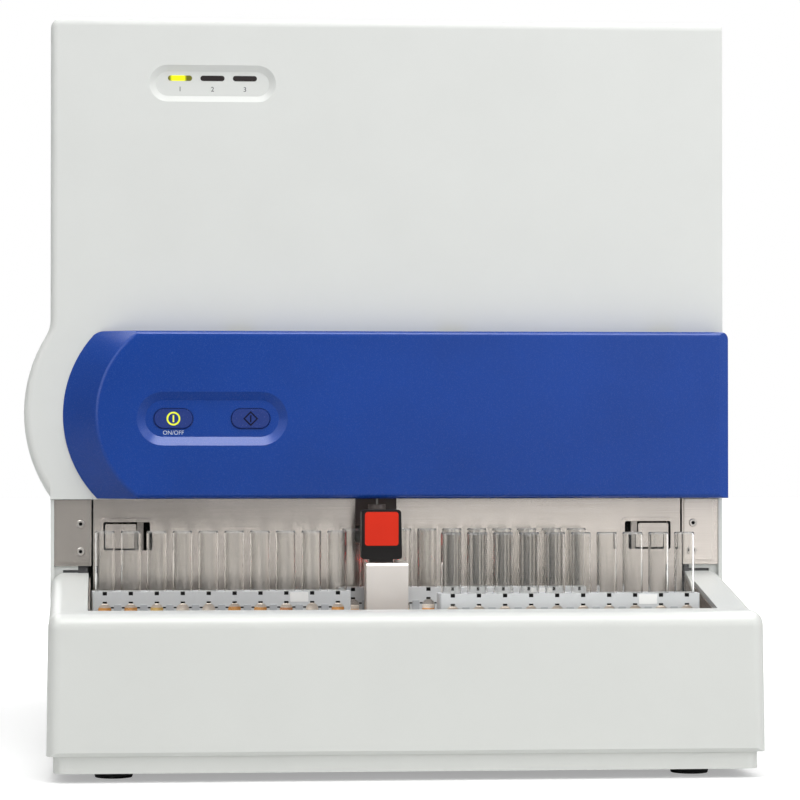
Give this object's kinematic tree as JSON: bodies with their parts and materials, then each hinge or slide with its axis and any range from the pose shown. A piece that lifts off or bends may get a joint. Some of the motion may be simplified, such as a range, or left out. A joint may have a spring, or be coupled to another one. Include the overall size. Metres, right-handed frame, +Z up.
{
  "type": "urine analyzer",
  "caption": "Benchtop urine analyzer: white housing with a round cheek, blue lift-up service door, steel sampling station and an open white tray of tube racks.",
  "frame": {"origin": "middle of the footprint's bounding box, on the table", "axes": "+Z up, +Y from the tray at the front to the rear panel, +X to the operator's right"},
  "size_m": [0.561, 0.61, 0.59],
  "materials": {
    "cover_white": "fine textured painted moulding",
    "tray_white": "satin moulded plastic",
    "door_blue": "satin blue moulding",
    "button_blue": "satin blue cap",
    "brushed_steel": "horizontally brushed stainless sheet",
    "frame_steel": "grey powder coat",
    "bare_steel": "plain steel",
    "black_plastic": "matt black",
    "label_orange": "bare orange-red plate",
    "dark_glass": "deep red window",
    "tube_glass": "clear tube",
    "rack_grey": "pale grey moulding",
    "lens": "smoked light guide",
    "circuit": "green circuit board",
    "rubber": "black rubber",
    "aluminium": "machined",
    "zinc": "zinc plated sheet",
    "cream": "natural plastic"
  },
  "bodies": {
    "housing": {"feet": "rubber", "base_plate": "zinc", "plinth": "tray_white", "chassis_frame": "frame_steel", "equipment_shelf": "zinc", "left_side_panel": "cover_white", "right_side_panel": "cover_white", "top_cover": "cover_white", "rear_panel": "cover_white", "front_cover": "cover_white", "status_lights": "lens", "status_board": "circuit", "tray_cover": "tray_white", "tray_liner": "brushed_steel", "station_panel": "brushed_steel", "left_bracket": "brushed_steel", "right_bracket": "brushed_steel", "bracket_screws": "bare_steel", "latch_guides": "bare_steel", "reader_post": "brushed_steel", "reader_housing": "black_plastic", "reader_window": "dark_glass", "reader_label": "label_orange", "hinge_brackets": "black_plastic", "probe_column": "aluminium", "wash_well": "black_plastic", "optics_bench": "aluminium", "strobe_lamp": "black_plastic", "flow_cell": "aluminium", "objective": "aluminium", "camera": "black_plastic", "pump_body": "black_plastic", "power_supply": "zinc", "main_board": "circuit", "fan_housing": "black_plastic", "power_entry": "black_plastic", "fluid_ports": "cream"},
    "door": {"front_door": "door_blue", "hinge_pins": "bare_steel", "button_board": "circuit"},
    "power_key": {"power_button": "button_blue"},
    "start_key": {"start_button": "button_blue"},
    "left_latch": {"latch_left": "brushed_steel"},
    "right_latch": {"latch_right": "brushed_steel"},
    "output_rack": {"rack_left": "rack_grey"},
    "output_tubes": {"tubes_left": "tube_glass"},
    "input_rack": {"rack_right": "rack_grey"},
    "input_tubes": {"tubes_right": "tube_glass"},
    "sampling_rack": {"rack_rear": "rack_grey", "tubes_rear": "tube_glass"},
    "probe": {"probe_carriage": "aluminium", "sample_probe": "bare_steel"},
    "fan": {"fan_rotor": "black_plastic"},
    "pump_wheel": {"pump_rotor": "cream"},
    "mains_rocker": {"rocker_switch": "black_plastic"}
  },
  "joints": [
    {"name": "door_lift", "type": "hinge", "parent": "housing", "child": "door", "pos_m": [0.0105, -0.1513, 0.3364], "axis": [-1, 0, 0], "range_deg": [0, 78]},
    {"name": "power_press", "type": "slide", "parent": "door", "child": "power_key", "axis": [0, 1, 0], "range_m": [0, 0.0012], "stiffness_N_per_m": 600, "springref_m": -0.0004},
    {"name": "start_press", "type": "slide", "parent": "door", "child": "start_key", "axis": [0, 1, 0], "range_m": [0, 0.0012], "stiffness_N_per_m": 600, "springref_m": -0.0004},
    {"name": "left_latch_slide", "type": "slide", "parent": "housing", "child": "left_latch", "axis": [1, 0, 0], "range_m": [0, 0.008]},
    {"name": "right_latch_slide", "type": "slide", "parent": "housing", "child": "right_latch", "axis": [-1, 0, 0], "range_m": [0, 0.008]},
    {"name": "output_rack_feed", "type": "slide", "parent": "housing", "child": "output_rack", "axis": [0, -1, 0], "range_m": [0, 0.048]},
    {"name": "output_tubes_lift", "type": "slide", "parent": "output_rack", "child": "output_tubes", "axis": [0, 0, 1], "range_m": [0, 0.11]},
    {"name": "input_rack_feed", "type": "slide", "parent": "housing", "child": "input_rack", "axis": [0, 1, 0], "range_m": [0, 0.048]},
    {"name": "input_tubes_lift", "type": "slide", "parent": "input_rack", "child": "input_tubes", "axis": [0, 0, 1], "range_m": [0, 0.11]},
    {"name": "sampling_rack_feed", "type": "slide", "parent": "housing", "child": "sampling_rack", "axis": [1, 0, 0], "range_m": [-0.16, 0.02]},
    {"name": "probe_dip", "type": "slide", "parent": "housing", "child": "probe", "axis": [0, 0, 1], "range_m": [-0.09, 0]},
    {"name": "fan_spin", "type": "hinge", "parent": "housing", "child": "fan", "pos_m": [-0.1495, 0.275, 0.48], "axis": [0, 1, 0], "continuous": true},
    {"name": "pump_spin", "type": "hinge", "parent": "housing", "child": "pump_wheel", "pos_m": [0.2005, -0.069, 0.262], "axis": [0, 1, 0], "continuous": true},
    {"name": "mains_rock", "type": "hinge", "parent": "housing", "child": "mains_rocker", "pos_m": [0.1805, 0.292, 0.109], "axis": [-1, 0, 0], "range_deg": [0, 24]}
  ]
}
